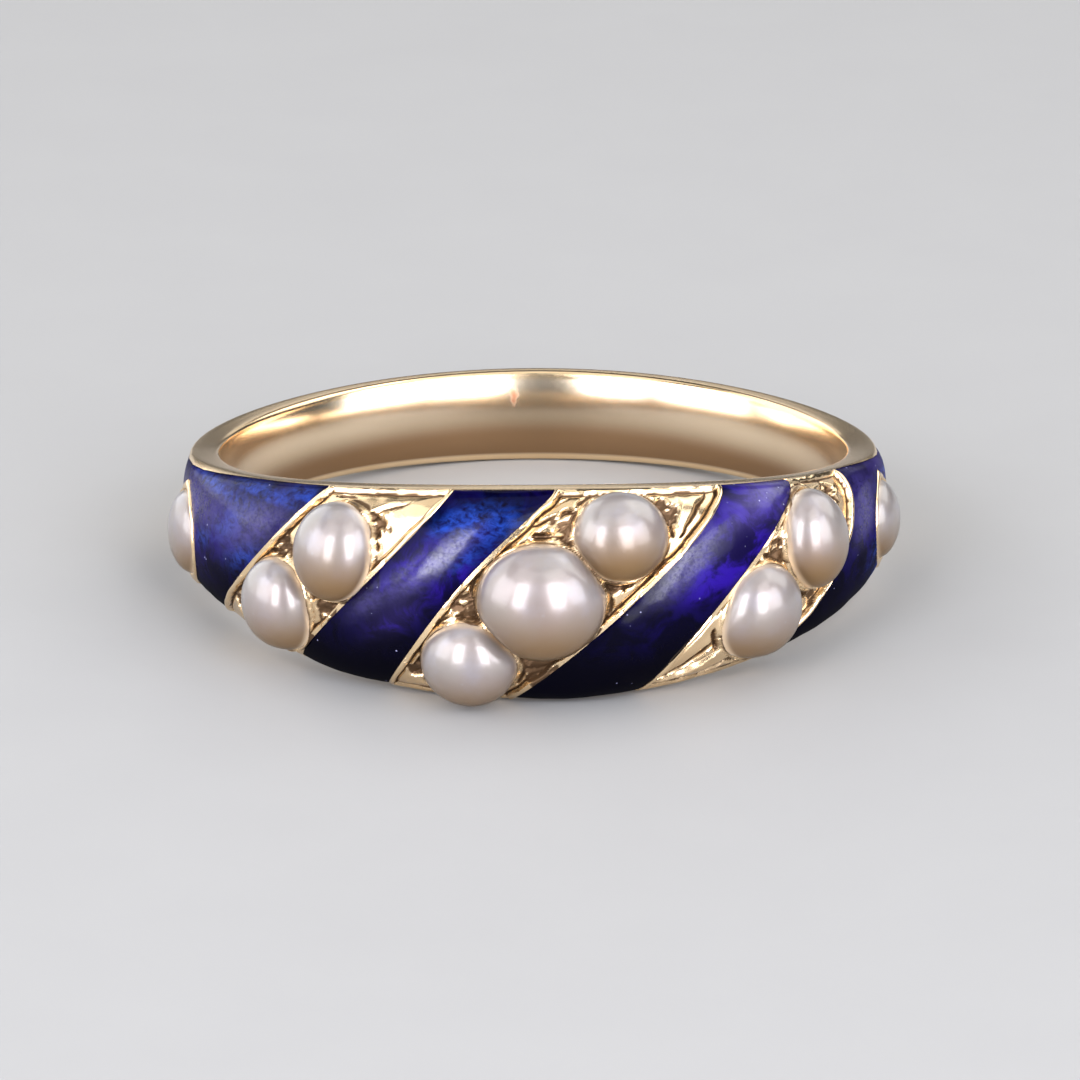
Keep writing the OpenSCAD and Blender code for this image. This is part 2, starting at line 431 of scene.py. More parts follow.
def enamel_finish():
    """Nearly black glass with blue and violet clouds, bubbles, a soft gloss, painted shade low down and a
    painted sheen.
    """
    e = Finish("blue_enamel")
    azure, violet, froth, gloss, deep = [e.mark(m) for m in ("azure", "violet", "froth", "gloss", "deep")]
    clouds = e.noise(0.9, detail=5, seed=3.1, rough=0.6, swirl=0.6)
    fibres = e.noise(0.30, detail=4, seed=8.2, stretch=(1, 1, 1.6), rough=0.62, swirl=0.5)
    body = e.mix(e.band(clouds, 0.38, 0.68), (0.0006, 0.0003, 0.006), (0.0020, 0.0009, 0.026))
    body = e.mix(violet * e.band(clouds, 0.42, 0.58, 0.10, 1.0), body, (0.013, 0.003, 0.165))
    # Painted shade: the lower part of each stripe is darkened towards black.
    body = e.mix(deep, body, (0.0003, 0.0002, 0.0022))
    glow = 0.72 * azure * e.band(fibres, 0.30, 0.74)
    body = e.mix(glow, body, (0.013, 0.062, 0.42))
    # Painted sheen: the gloss spots lighten the colour towards lavender.
    body = e.mix(gloss * e.band(fibres, 0.3, 0.7, 0.3, 0.7), body, (0.042, 0.032, 0.155))
    body = e.mix(0.5 * froth * froth * e.band(clouds, 0.25, 0.65, 0.4, 1.0), body, (0.085, 0.066, 0.22))
    speckle = e.node("TexVoronoi", None, {"Vector": e.place, "Scale": SPECKLE}, out="Distance")
    where = e.noise(0.6, detail=1, seed=5.5)
    bubbles = e.band(speckle, 0.10, 0.05) * e.band(where + 0.24 * froth, 0.60, 0.68)
    body = e.mix(0.55 * bubbles, body, (0.42, 0.42, 0.68))
    haze = e.noise(0.07, detail=3, seed=9.0)
    shine = gloss * e.band(haze, 0.30, 0.62, 0.4, 1.0)
    return e.surface({
        "Base Color": body,
        "Metallic": 0.45 * glow,
        "Roughness": 0.36 + 0.12 * haze,
        "Specular IOR Level": 0.0,
        "Coat Weight": 0.08 + 0.74 * shine,
        "Coat Roughness": 0.17,
        "Coat IOR": 1.62,
        "Normal": e.bump(haze, 0.004, 0.4),
    })


BLUE_ENAMEL = enamel_finish()

# %% [markdown]
# A pearl is layer on layer of thin clear plates. Light sinks in a little and comes back
# milky, and the layers tint the gloss pink and blue. One shiny coat would look like china,
# so light under the surface, a thin film and two glosses, one soft and one clearer, share
# the lustre. The mark "lower" paints warm shade and a reflection of the gold on the lower
# side, and "foot" is a painted reflection of the gold's glow at the base.

# %% Pearl
def pearl_finish():
    """Milky layers under a soft tinted gloss, with painted warm shade low down and a painted gold glow at the
    foot.
    """
    p = Finish("half_pearl")
    lower, foot = p.mark("lower"), p.mark("foot")
    growth = p.noise(0.7, detail=3, seed=7.7)
    tint = p.noise(1.4, detail=1, seed=2.2)
    colour = p.mix(p.band(tint, 0.35, 0.65), (0.225, 0.200, 0.186), (0.225, 0.190, 0.181))
    colour = p.mix(p.band(growth, 0.45, 0.75, 0.0, 0.5), colour, (0.245, 0.233, 0.265))
    # Painted shade and a painted warm reflection of the gold on the lower side.
    colour = p.mix(lower, colour, (0.172, 0.098, 0.040))
    # Painted reflection: the gold's warm glow at the pearl's foot.
    colour = p.mix(foot, colour, (0.85, 0.66, 0.45))
    ripple = p.noise(0.22, detail=3, seed=3.3, stretch=(1, 1, 2))
    grain = p.noise(0.05, detail=2, seed=4.9)
    return p.surface({
        "Base Color": colour,
        "Metallic": 0.25 + 0.1 * growth,
        "Roughness": 0.30 + 0.10 * growth,
        "Subsurface Weight": 0.35,
        "Subsurface Radius": (1.0, 0.85, 0.7),
        "Subsurface Scale": 0.0004,
        "Specular IOR Level": 0.35,
        "Coat Weight": 0.85 * (1 - lower),
        "Coat Roughness": 0.19,
        "Coat IOR": 1.62,
        "Thin Film Thickness": 320.0,
        "Thin Film IOR": 1.45,
        "Normal": p.bump(ripple + 0.12 * grain, 0.006, 0.35),
    })


HALF_PEARL = pearl_finish()

# %% [markdown]
# The locket's window is a thin slip of old glass. It is clear, so only a faint film, a
# little rougher in clouds, tells it from an empty frame.

# %% Glass
def glass_finish():
    """Clear glass with a faint cloudy film."""
    g = Finish("locket_glass_clear")
    film = g.noise(0.9, detail=3, seed=1.9)
    return g.surface({
        "Base Color": g.mix(film, (0.96, 0.98, 0.97), (0.90, 0.94, 0.92)),
        "Roughness": 0.02 + 0.05 * g.band(film, 0.5, 0.8),
        "IOR": 1.5,
        "Transmission Weight": 1.0,
    })


CLEAR_GLASS = glass_finish()

# %% [markdown]
# The half pearls differ in size and no outline is a true circle: a setter picks them to
# fill a slanting field, and turns them so that neighbours touch. Copies of one ball would
# look like a machine's work, so each has a place, a wide and a tall radius, a dome, and
# bulges or flats given by direction. Its seat is the frame that its dome is built in.

# %% Places of the pearls
# Each: angle round the ring, height, lift, wide and tall radius, dome, bulges (direction, spread, mm)
PEARLS = {
    "pearl_middle": (1.2, 0.16, 0.05, 1.73, 1.59, 1.33, [(150, 40, 0.03)]),
    "pearl_middle_top": (13.3, 1.82, 0.0, 1.29, 1.21, 1.02, [(20, 40, 0.03)]),
    "pearl_middle_bottom": (-9.8, -1.68, 0.0, 1.30, 1.25, 1.04, [(200, 40, 0.03)]),
    "pearl_left_top": (
        -31.5, 1.09, 0.06, 1.21, 1.35, 1.06, [(55, 35, 0.05), (-10, 40, -0.04), (190, 30, -0.05)]),
    "pearl_left_bottom": (-42.9, -0.74, 0.0, 1.18, 1.29, 1.02, [(-50, 30, 0.10), (15, 45, -0.05)]),
    "pearl_right_top": (48.5, 0.80, 0.05, 1.10, 1.37, 1.02, [(160, 40, -0.03), (-30, 50, 0.03)]),
    "pearl_right_bottom": (
        37.1, -0.80, 0.0, 1.25, 1.30, 1.04, [(198, 22, 0.14), (230, 24, 0.16), (50, 40, 0.02)]),
    "pearl_far_left": (-77.0, -0.22, 0.0, 1.18, 1.18, 0.68, []),
    "pearl_far_right": (78.0, 0.00, 0.0, 1.10, 1.10, 0.69, []),
}


def seat_of(name):
    """Centre of a pearl's widest circle and its three directions: round, up and out."""
    a, z, lift = PEARLS[name][:3]
    q = section_angle(a, z)
    out = outward(a, q)
    step = skin(a + 0.5, q) - skin(a - 0.5, q)
    right = unit(step - out * (step @ out))
    return skin(a, q) + (lift - PEARL_SINK) * out, right, np.cross(out, right), out


for name in PEARLS:
    print(name, "centre in mm", seat_of(name)[0].round(2))

# %% [markdown]
# Where two pearls meet, both give way along the line between them. Cutting one mesh with
# another would leave a seam, so the outline itself is held back from the neighbour.

# %% Outlines of the pearls
TOUCHING = [
    ("pearl_middle", "pearl_middle_top"),
    ("pearl_middle", "pearl_middle_bottom"),
    ("pearl_left_top", "pearl_left_bottom"),
    ("pearl_right_top", "pearl_right_bottom"),
]


def ellipse(name, theta):
    """Radius in direction theta of an ellipse of the pearl's wide and tall radius."""
    wide, tall = PEARLS[name][3:5]
    t = np.radians(theta)
    return wide * tall / np.hypot(tall * np.cos(t), wide * np.sin(t))


def outline(name, theta):
    """Radius of a pearl's widest line in direction theta, in degrees.

    An ellipse of the two radii, plus a rounded bulge for each entry, held back from
    each neighbour by a soft minimum with the line between the two.
    """
    wide, _, _, bulges = PEARLS[name][3:]
    t = np.radians(theta)
    r = ellipse(name, theta)
    for direction, spread, amount in bulges:
        r = r + amount * np.exp(-(((theta - direction + 180) % 360 - 180) / spread) ** 2)
    centre, right, up, _ = seat_of(name)
    for pair in TOUCHING:
        if name in pair:
            other = pair[1 - pair.index(name)]
            gap = seat_of(other)[0] - centre
            x, y = gap @ right, gap @ up
            share = wide / (wide + PEARLS[other][3])
            limit = (math.hypot(x, y) + 0.05) * share
            toward = np.cos(t - math.atan2(y, x))
            wall = limit / np.maximum(toward, 0.15)
            r = -0.05 * np.log(np.exp(-r / 0.05) + np.exp(-np.minimum(wall, r + 2) / 0.05))
    return r


for name in PEARLS:
    spots = outline(name, np.arange(0, 360, 5.0))
    print(name, "radii from", round(spots.min(), 2), "to", round(spots.max(), 2), "mm")

# %% [markdown]
# Random hand work needs random numbers that stay the same on every run, so each pattern has
# its own seed. A few sines that run in random directions make soft unevenness, and cost less
# than a noise field.

# %% Waves
def waves(points, size, seed, count=10):
    """Soft hills about size millimetres across: sines that run in random directions."""
    rng = np.random.default_rng(seed)
    way = unit(rng.normal(size=(count, 3))) * (2 * math.pi / size) * rng.uniform(0.6, 1.5, (count, 1))
    return np.sin(points @ way.T + rng.uniform(0, 2 * math.pi, count)).sum(-1) / math.sqrt(count / 2)


print("waves at three points", waves(np.eye(3), 1.0, 1).round(2))

# %% [markdown]
# A graver that roughens a ground leaves little leaning pyramids, so close that only their
# flat faces and the valleys between them show. Each is a peak in a net of cells, and the
# highest of the nearest nine wins.

# %% Chips
def chips(u, v, size, steep, seed):
    """Height over (u, v) of leaning pyramids about size apart, in millimetres.

    Each cell of a square net has a peak at a random place. A pyramid falls from it by
    steep times the largest of four slanting distances, and the highest pyramid shows.
    """
    rng = np.random.default_rng(seed)
    count = 64
    place = rng.uniform(0.1, 0.9, (count, count, 2))
    peak = rng.uniform(0.0, 1.0, (count, count))
    turn = rng.uniform(0, math.pi, (count, count))
    slope = steep * rng.uniform(0.6, 1.5, (count, count, 4))
    cu, cv = np.floor(u / size).astype(int), np.floor(v / size).astype(int)
    best = np.full(u.shape, -1e9)
    for du in (-1, 0, 1):
        for dv in (-1, 0, 1):
            i, j = (cu + du) % count, (cv + dv) % count
            x = u - (cu + du + place[i, j, 0]) * size
            y = v - (cv + dv + place[i, j, 1]) * size
            fall = np.zeros(u.shape)
            for k in range(4):
                way = turn[i, j] + k * math.pi / 2
                fall = np.maximum(fall, slope[i, j, k] * (np.cos(way) * x + np.sin(way) * y))
            best = np.maximum(best, peak[i, j] * size * steep * 0.5 - fall)
    return best


sample = chips(*np.meshgrid(np.linspace(0, 3, 200), np.linspace(0, 3, 200)), 0.3, 0.8, 1)
print("chips from", sample.min().round(3), "to", sample.max().round(3))

# %% [markdown]
# Eight lines run slanting over the band and part it into enamel pockets, carved fields and
# the plain back. The pockets could be cut out of a finished band, but a cut across a grid is
# jagged. So the columns of the grid follow the lines: each line's angle is a cubic in the
# height, and a column is a share of the way from one line to the next.

# %% Lines over the band
# Each: angle at the mid-plane, slant, bend and flare towards the upper edge
EDGES = np.array([
    [-97.0, 5.0, 0.0, 0.0],
    [-50.5, 14.0, 0.0, 0.0],
    [-27.7, 14.5, 0.0, 0.0],
    [-13.3, 12.0, 2.7, 2.4],
    [14.8, 18.7, 0.0, 0.0],
    [30.9, 15.9, 2.0, 0.0],
    [58.5, 12.0, -6.0, 0.0],
    [97.0, 5.0, 0.0, 0.0],
    [263.0, 5.0, 0.0, 0.0],
])
# Section angle where pockets end, how much less it is on the shoulders, and depth in mm
POCKET_END = 83.0
SHOULDER_DROP = 18.0
POCKET_DEPTH = 0.32
# Each: kind, left line, right line, columns
SEGMENTS = [
    ("pocket", 0, 1, 10),
    ("field", 1, 2, 116),
    ("pocket", 2, 3, 16),
    ("field", 3, 4, 142),
    ("pocket", 4, 5, 16),
    ("field", 5, 6, 126),
    ("pocket", 6, 7, 10),
    ("shank", 7, 8, 40),
]


def line_angle(k, s):
    """Angle of line k at share s of the half width: a cubic in s."""
    c = EDGES[k]
    return c[0] + s * (c[1] + s * (c[2] + s * c[3]))


def across(left, right, f, s):
    """Angle at share f of the way from one line to another."""
    return line_angle(left, s) * (1 - f) + line_angle(right, s) * f


def pocket_end(left, right, f):
    """Section angle where pockets end, drawn back where the flat edge is wide."""
    return POCKET_END - SHOULDER_DROP * shoulder(across(left, right, f, 0.0))


def rise_of(q):
    """Share of the half width at section angle q: sin q to the power 2/fullness."""
    return signed_power(np.sin(np.radians(q)), 2 / FULLNESS)


print("columns", sum(entry[3] for entry in SEGMENTS), "lines at", EDGES[:, 0])

# %% [markdown]
# The rows of the grid go up over the dome. Equal steps of angle would crowd them in the
# middle, so they are set at equal steps along the front's own curve. Across a field the
# columns stand closer near the gold lines, where the cuts are steep.

# %% Rows and columns
def even_rows(count):
    """Shares of the pocket's end angle, and mm up the section, at equal steps over the front."""
    q = np.linspace(-POCKET_END, POCKET_END, 4001)
    run = np.concatenate([[0], np.cumsum(np.linalg.norm(np.diff(skin(0.0, q), axis=0), axis=1))])
    even = np.linspace(0, run[-1], count)
    return np.interp(even, run, q) / POCKET_END, even - run[-1] / 2


def eased(count, pull):
    """Shares from 0 to 1, closer together at both ends: x less a sine wave."""
    x = np.linspace(0, 1, count)
    return x - pull * np.sin(2 * math.pi * x) / (2 * math.pi)


ROWS, ROW_MM = even_rows(154)
print("rows", len(ROWS), "over", round(ROW_MM[-1] - ROW_MM[0], 2), "mm")

# %% [markdown]
# The graver works by distances: from the gold lines beside a field and from the pearls in
# it. A grid's own steps give the first. The second is measured in each pearl's seat, and
# the next nearest pearl is kept too, because no room is left where two of them meet.

# %% Distances over a field
def sides_of(points):
    """Distances in mm over a grid's surface from its left, right, lower and upper side.

    The gradient gives each cell's two edges. Its area over one edge's length is the
    step across that edge, and the running sum of the steps is the distance.
    """
    du, dv = np.gradient(points, axis=0), np.gradient(points, axis=1)
    area = np.linalg.norm(np.cross(du, dv), axis=-1)
    wide, high = area / np.linalg.norm(dv, axis=-1), area / np.linalg.norm(du, axis=-1)
    left, low = np.cumsum(wide, 0) - wide, np.cumsum(high, 1) - high
    return left, left[-1:] - left, low, low[:, -1:] - low


def softened(heights, times):
    """Heights after each is averaged that many times with its four neighbours."""
    for _ in range(times):
        h = np.pad(heights, 1, mode="edge")
        heights = heights / 2 + (h[2:, 1:-1] + h[:-2, 1:-1] + h[1:-1, 2:] + h[1:-1, :-2]) / 8
    return heights


def pearl_distance(points):
    """Distances in mm outside the two nearest pearls' widest lines, and place at the nearest.

    The place is the height over its widest line and a run round it that grows with the
    angle, and starts elsewhere for each pearl.
    """
    near, second = np.full((2,) + points.shape[:-1], 9.0)
    height, along = np.zeros(near.shape), np.zeros(near.shape)
    for k, name in enumerate(PEARLS):
        centre, right, up, out = seat_of(name)
        x, y, z = (points - centre) @ right, (points - centre) @ up, (points - centre) @ out
        way = np.arctan2(y, x)
        beyond = np.where(np.abs(z) < 2, np.hypot(x, y) - outline(name, np.degrees(way)), 9.0)
        height = np.where(beyond < near, z, height)
        along = np.where(beyond < near, 1.25 * way + 10 * k, along)
        second = np.minimum(second, np.maximum(near, beyond))
        near = np.minimum(near, beyond)
    return near, second, height, along


print("from the middle of the front to a pearl", pearl_distance(skin(0.0, np.zeros(1)))[0], "mm")

# %% [markdown]
# Away from the pearls the graver cuts bright facets by hand. Every one that can be told
# apart has its own entry: a leaf-shaped cut with a keel, steep or flat by its lean, and the
# dirt that has stayed in it. A negative depth leaves a ridge.

# %% Cuts by hand
# Each: from (angle, height) to (angle, height), width, depth, lean, dirt
CUTS = {
    1: [
        (-19, 2.68, -26.5, 2.2, 0.46, 0.13, 0.4, 0), (-31, 2.52, -16, 2.8, 0.2, 0.08, 0.3, 0.3),
        (-24.2, 2.28, -23.2, 1.7, 0.2, 0.16, -0.3, 0.4),
        (-30.6, -0.1, -35.6, -1.5, 0.36, 0.26, 0.3, 0.5),
        (-29.4, -0.3, -33.6, -0.85, 0.2, 0.22, -0.2, 0), (-34, -1.1, -37.4, -2, 0.26, 0.2, -0.4, 0.6),
        (-46.2, 0.7, -40, 1.55, 0.3, 0.22, 0.2, 0), (-43.6, 0.4, -40.6, 0.9, 0.26, 0.24, 0, 0),
        (-38.6, 1.95, -34.6, 2.36, 0.16, 0.12, 0, 0), (-57.8, -1.4, -48.6, 0.25, 0.14, 0.2, 0, 0.8),
    ],
    3: [
        (7.6, 2.84, 0, 2.34, 0.34, 0.13, -0.4, 0), (4.6, 2.52, -2, 2, 0.25, 0.17, 0.3, 0.45),
        (2.6, 2.26, -3.4, 1.62, 0.16, -0.04, 0, 0), (27.6, 2.72, 22.4, 2.1, 0.56, 0.09, -0.6, 0),
        (27.4, 2.78, 18.6, 2.82, 0.2, 0.08, 0.3, 0), (30.6, 2.74, 22.2, 1.56, 0.34, 0.19, 0.4, 0.42),
        (24.6, 1.92, 22.6, 1.6, 0.17, 0.22, 0.2, 0.7), (20.6, 1.4, 15.4, 0.5, 0.11, 0.18, 0.2, 0),
        (15.4, 0.4, 10.8, -0.5, 0.11, 0.18, 0.2, 0), (10.8, 0.88, 14, 0.28, 0.24, 0.26, 0.2, 0.3),
        (13.4, 0.98, 13.2, 0.3, 0.14, 0.24, 0, 0), (-2.2, -1.3, 5, -1.42, 0.52, 0.34, 0.2, 1),
        (-1.6, -2.2, 3.2, -1.86, 0.28, 0.24, -0.3, 0.7), (-4, 1.52, -9.6, 0.4, 0.11, 0.16, 0, 0),
        (-12.6, 0.22, -8, -0.56, 0.32, 0.26, 0.3, 0.5), (-10.4, 0.46, -8.8, -0.2, 0.2, 0.24, -0.3, 0),
        (-19.6, -2.3, -16.8, -1.5, 0.32, 0.24, 0.2, 0.5),
    ],
    5: [
        (49, 2.06, 42.8, 1.46, 0.15, 0.14, 0.2, 0), (42.6, 1.58, 41.6, 1.3, 0.14, 0.3, 0, 0),
        (40.2, 1.26, 31.2, -0.02, 0.12, 0.17, 0.2, 0), (31, -0.12, 26.4, -1.1, 0.12, 0.17, 0.2, 0),
        (39.6, 0.96, 42.8, 0.32, 0.26, 0.25, 0.2, 0.4), (41.2, 1.2, 42, 0.66, 0.15, 0.24, 0, 0),
        (50.4, 2.22, 62, 2.02, 0.22, 0.09, 0.3, 0), (55.4, 1.92, 59.9, 1.32, 0.26, 0.22, -0.3, 0.5),
        (64.2, 1.62, 61.6, 0.3, 0.3, 0.07, 0.5, 0.2), (45.8, -0.44, 50.6, -1.04, 0.26, 0.25, 0.2, 0.5),
        (52.2, -0.46, 48.2, -0.84, 0.15, 0.22, 0, 0), (30, -1.22, 18.6, -2.6, 0.26, 0.24, 0.4, 0.5),
        (30.6, -1.62, 18.2, -2.74, 0.32, 0.25, -0.4, 0.1),
        (32.8, -2.02, 20.2, -2.82, 0.34, 0.24, 0.4, 0.6), (35.6, -2.3, 24, -2.86, 0.28, 0.2, -0.2, 0.1),
        (32, -1.8, 30.4, -1.46, 0.24, 0.32, 0, 0.8),
    ],
}


def gouge(points, a1, z1, a2, z2, wide, deep, lean):
    """Depth in mm of a leaf-shaped cut with a keel.

    Along the cut t goes from 0 to 1, and the half width is wide/2 times the root of
    4t(1 - t). Across it the depth falls in two straight walls from a keel that lies
    lean half widths to the left of the middle line.
    """
    ends = [skin(a, section_angle(a, z)) for a, z in ((a1, z1), (a2, z2))]
    run, middle = ends[1] - ends[0], (a1 + a2) / 2
    side = unit(np.cross(outward(middle, section_angle(middle, (z1 + z2) / 2)), run))
    t = np.clip((points - ends[0]) @ run / (run @ run), 0, 1)
    leaf = np.sqrt(4 * t * (1 - t)) + 1e-6
    d = (points - ends[0]) @ side / (wide / 2 * leaf) - lean
    return deep * leaf * np.clip(1 - np.abs(d) / np.where(d > 0, 1 - lean, 1 + lean), 0, 1)


def hand_cuts(points, segment, seed, ground):
    """Sinks a field's placed cuts into the ground, and says how dirty each leaves it.

    The deepest cut counts at each point, and small waves bend all of them a little.
    """
    bent = points + 0.015 * np.stack([waves(points, 0.5, seed + 10 + k) for k in range(3)], -1)
    ridge, stain = np.zeros(ground.shape), np.zeros(ground.shape)
    for *place, dirt in CUTS[segment]:
        cut = gouge(bent, *place)
        stain = np.where(cut > ground, dirt, stain)
        ground, ridge = np.maximum(ground, cut), np.minimum(ridge, cut)
    return ground + ridge, stain


print("placed cuts", sum(len(entries) for entries in CUTS.values()))

# %% [markdown]
# Along each gold line runs a bevel, then a groove, and then a plane that rises from the
# groove, so that in a corner of a field two planes meet in a crease. The line itself keeps
# a low arch. A chain of straight runs over the distance from the side gives all of it.

# %% Cuts along the sides
# Left, right, lower and upper side, each: line, wall, groove's depth, plane's depth, reach
SIDE_CUTS = [(0.12, 0.04, 0.15, 0.09, 0.95), (0.12, 0.04, 0.17, 0.12, 1.30),
             (0.06, 0.10, 0.12, 0.10, 0.80), (0.05, 0.10, 0.12, 0.10, 0.90)]


def side_cuts(sides, wobble):
    """Depth in mm of the cuts along the sides, the share of carved ground, and the arch.

    The depth is the largest of four chains of straight runs. The share goes from 0 on
    the lines to 1 at the foot of their walls.
    """
    ground, line, arch = np.full(wobble.shape, 0.02), np.ones(wobble.shape), np.zeros(wobble.shape)
    for distance, (width, wall, deep, plane, reach) in zip(sides, SIDE_CUTS):
        d, foot, half = distance + wobble, width + wall, 0.5 * width
        runs = np.interp(d, [0, width, foot, foot + 0.10, reach], [0, 0, deep, plane, 0])
        ground = np.maximum(ground, runs)
        line = np.minimum(line, np.clip((d - width) / wall, 0, 1))
        arch = np.minimum(arch, -0.028 * np.clip(1 - ((d - half) / half) ** 2, 0, 1))
    return ground, line, arch


print("deepest groove", max(entry[2] for entry in SIDE_CUTS), "mm")

# %% [markdown]
# In the gaps that the pearls leave, the ground is roughened with short strokes and chips,
# and dirt has gathered there. Chips all over a field would drown the facets, so they keep
# to round places with ragged edges.

# %% Chipped places
# Each: angle, height, radius, dirt
CHIPPED = {
    1: [
        (-25.4, 1.95, 0.46, 0.1), (-25.2, 1.35, 0.22, 0.1), (-33, -0.6, 0.45, 0.9),
        (-37.5, -1.6, 0.4, 1), (-42.3, 0.95, 0.42, 0.6), (-28.6, 2.3, 0.26, 0),
        (-54.4, -1.3, 0.34, 0.7),
    ],
    3: [
        (5.6, 2.1, 0.6, 0.2), (21, 2.3, 0.5, 0.1), (12.7, 0.6, 0.4, 0.4), (-10.4, -0.1, 0.55, 0.6),
        (1, -1.8, 0.66, 1.6), (-18, -2, 0.4, 0.6),
    ],
    5: [
        (41, 0.72, 0.42, 0.4), (57.2, 1.72, 0.46, 0.1), (49, -0.72, 0.42, 0.4), (30.6, -1.4, 0.3, 0.6),
    ],
}


# Mm from stroke to stroke and from chip to chip
STROKE_STEP, CHIP_STEP = 0.42, 0.28


def chipped(points, segment, seed, left, near, along, ground):
    """The ground with its chipped places, and how dirty those are.

    Strokes follow the pearl's edge and bend the chips, and a place's share falls
    smoothly from 1 to 0 at its radius.
    """
    strokes = chips(1.5 * along, near + 0.06 * waves(points, 0.8, seed + 4), STROKE_STEP, 0.28, seed + 5)
    rough = chips(left + 0.2 * strokes, ROW_MM[None, :] + 0.2 * strokes, CHIP_STEP, 0.6, seed + 6)
    ragged = np.maximum(0.15 - 0.60 * strokes - 0.60 * rough, 0.5 * ground)
    share, soil = np.zeros(left.shape), np.zeros(left.shape)
    for a, z, radius, dark in CHIPPED[segment]:
        away = np.linalg.norm(points - skin(a, section_angle(a, z)), axis=-1)
        here = smooth((radius + 0.08 * waves(points, 0.6, seed + 7) - away) / 0.16)
        share, soil = np.maximum(share, here), np.maximum(soil, here * dark)
    return ground * (1 - share) + ragged * share, soil


print("chipped places", sum(len(entries) for entries in CHIPPED.values()))

# %% [markdown]
# A setter pushes gold up against each pearl to hold it. The lip rises to the pearl's widest
# line, higher where there is room, and a crease runs round it where the tool has turned.
# Under the pearl the gold stays high for a hair's breadth, so that the edge which shows is
# where two smooth surfaces meet, and not the steps of a grid.

# %% Lips round the pearls
LIP_LEAST, LIP_MOST = 0.04, 0.20
LIP_SLOPE, LIP_SOFT = 2.4, 0.03
CREASE_AT, CREASE_DEPTH = 0.19, 0.19
HIGHEST, DEEPEST = -0.38, 0.42


def gripped(points, seed, depth, line, near, height, edge, squeezed):
    """Depth in mm with the lips, given the distances to the pearl and to the rim.

    The lip's height is the pearl's lift over the ground, up to the room there is, times
    slow waves. Outside, the lip falls away along a rounded slope, and a bell-shaped crease
    runs beside it.
    """
    room = np.minimum(LIP_LEAST + 0.20 * edge, LIP_MOST) * (1 - 0.7 * squeezed)
    held = np.clip(0.45 + 0.55 * waves(points, 1.0, seed + 8), 0.0, 1.0)
    lip = np.clip(0.03 - height, 0.0, room) * held + 0.010 * waves(points, 0.5, seed + 13)
    slope = -lip + LIP_SLOPE * (np.hypot(np.maximum(near, 0), LIP_SOFT) - LIP_SOFT)
    crease = CREASE_DEPTH * np.clip(0.6 + 0.55 * waves(points, 1.0, seed + 9), 0.15, 1.1)
    crease = crease * np.exp(-((near - CREASE_AT) / 0.09) ** 2) * line
    depth = np.where(near < 0.45, np.minimum(np.maximum(depth, crease), slope), depth)
    depth = np.where(near < -0.05, np.maximum(depth, -lip - 3.0 * (near + 0.05)), depth)
    return np.clip(depth, HIGHEST, DEEPEST)


print("lips up to", LIP_MOST, "mm high, with a crease", CREASE_AT, "mm from the pearl")

# %% [markdown]
# Old dirt stays where a cloth can't reach: in hollows, in deep cuts, in tight gaps and along
# the pearls. A hollow is a place deeper than its surroundings, so the depth is compared with
# a blurred copy of itself.

# %% Dirt, and a whole field
def dirt_in(points, seed, depth, near, soil, stain, line):
    """How dirty each point is, from 0 to 1: hollows, deep cuts, the pearls' edges and stains."""
    hollow = depth - softened(depth, 24)
    dirt = smooth((hollow - 0.004 + 0.035 * soil) / 0.026)
    dirt = dirt + (0.4 + 0.6 * soil) * smooth((depth - 0.12) / 0.16)
    rubbed = 0.85 * np.exp(-((near + 0.01) / 0.06) ** 2)
    rubbed = rubbed * np.clip(0.8 + 0.5 * waves(points, 0.7, seed + 12), 0, 1)
    return np.clip(np.maximum(dirt, rubbed) + 0.8 * stain * line, 0, 1)


def carve(points, segment):
    """Depth in mm under the outside at each point of a field, and how dirty it is."""
    seed = 100 + 20 * segment
    sides = sides_of(points)
    left, _, low, high = sides
    wobble = 0.012 * waves(points, 1.1, seed) + 0.003 * waves(points, 0.35, seed + 1)
    ground, line, arch = side_cuts(sides, wobble)
    ground = ground + 0.004 * waves(points, 0.6, seed + 3)
    ground, stain = hand_cuts(points, segment, seed, ground)
    near, second, height, along = pearl_distance(points)
    ground, soil = chipped(points, segment, seed, left, near, along, ground)
    squeezed = smooth((0.42 - second) / 0.3)
    depth = gripped(points, seed, ground * line + arch, line, near, height, np.minimum(high, low), squeezed)
    return depth, dirt_in(points, seed, depth, near, np.maximum(soil, squeezed), stain, line)


pit = np.zeros((41, 41))
pit[20, 20] = 1.0
print("a single deep point keeps", softened(pit, 24).max().round(3), "of its depth when blurred")

# %% [markdown]
# The finger hole is a little wider at its edges, which is kinder to the finger, and a window
# for the locket is sunk into it behind the front. The window could be cut with a boolean,
# but a smooth step over its outline keeps the grid whole.

# %% The finger hole and the locket's window
WINDOW_L, WINDOW_W = 6.0, 3.2
GLASS_T = 0.28
LOCKET_DEPTH = 0.72
LOCKET_SLOPE = 0.36
# Each: mm at the front, and how much more at the back
EDGE_ROUND = (0.07, 0.10)
HOLE_FLARE = (0.02, 0.15)


def window_distance(x, z):
    """Distance in mm outside the round-ended window: that from the line between its centres."""
    along = np.maximum(np.abs(x) - (WINDOW_L - WINDOW_W) / 2, 0)
    return np.hypot(along, z) - WINDOW_W / 2


def grown(sizes, a):
    """A size at angle a: that at the front, plus its growth times half of 1 less cos a."""
    front, growth = sizes
    return front + growth * ((1 - np.cos(np.radians(a))) / 2)


def polar(r, a, z):
    """Point at radius r, angle a round the ring and height z."""
    turn = np.radians(a)
    return np.stack([r * np.sin(turn), -r * np.cos(turn), z], -1)


print("centre of the window", round(-float(window_distance(0.0, 0.0)), 2), "mm inside its outline")

